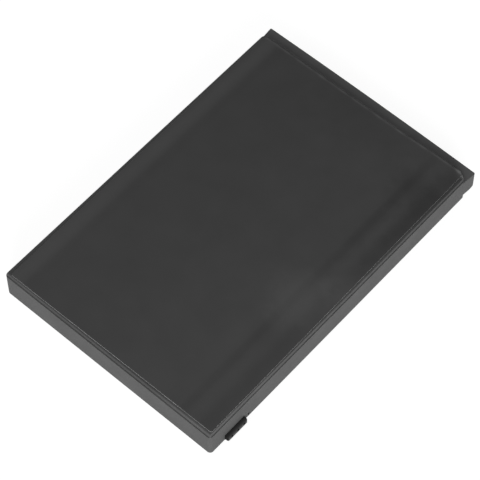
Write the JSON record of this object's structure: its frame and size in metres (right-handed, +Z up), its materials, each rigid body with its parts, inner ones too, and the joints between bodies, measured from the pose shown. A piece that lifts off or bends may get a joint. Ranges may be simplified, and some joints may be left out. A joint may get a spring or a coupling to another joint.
{
  "type": "phone battery",
  "caption": "Flat rectangular phone battery: moulded case with a rounded front lip, set-in cover under a dark film, and a round-nosed black terminal block at the lower side edge.",
  "frame": {"origin": "on the flat underside, midway along the length and the width of the case", "axes": "+X across the width towards the terminal block's side, +Y along the length towards the lip, +Z up out of the film"},
  "size_m": [0.0414, 0.06, 0.0058],
  "materials": {
    "case_plastic": "fine moulded texture",
    "cover_plastic": "fine moulded texture",
    "film": "satin film",
    "block_plastic": "matte",
    "contact_gold": "gold plated",
    "cell_aluminium": "drawn",
    "gasket_plastic": "matte",
    "nickel": "rolled",
    "insulating_paper": "matte",
    "board_laminate": "solder mask",
    "package_black": "matte",
    "chip_ceramic": "matte",
    "cutoff_plastic": "matte",
    "adhesive_tape": "matte",
    "foam": "open cell"
  },
  "bodies": {
    "root": {"lower_case": "case_plastic", "top_cover": "cover_plastic", "label_film": "film", "terminal_block": "block_plastic", "contact_forks": "contact_gold", "cell_can": "cell_aluminium", "terminal_gasket": "gasket_plastic", "negative_terminal": "nickel", "header_insulator": "insulating_paper", "circuit_board": "board_laminate", "protection_chip": "package_black", "switch_transistors": "package_black", "thermistor": "chip_ceramic", "board_passives": "chip_ceramic", "positive_strip": "nickel", "negative_strip": "nickel", "cutoff_strip": "nickel", "thermal_cutoff": "cutoff_plastic", "cell_tape": "adhesive_tape", "foam_pad": "foam"}
  },
  "joints": []
}
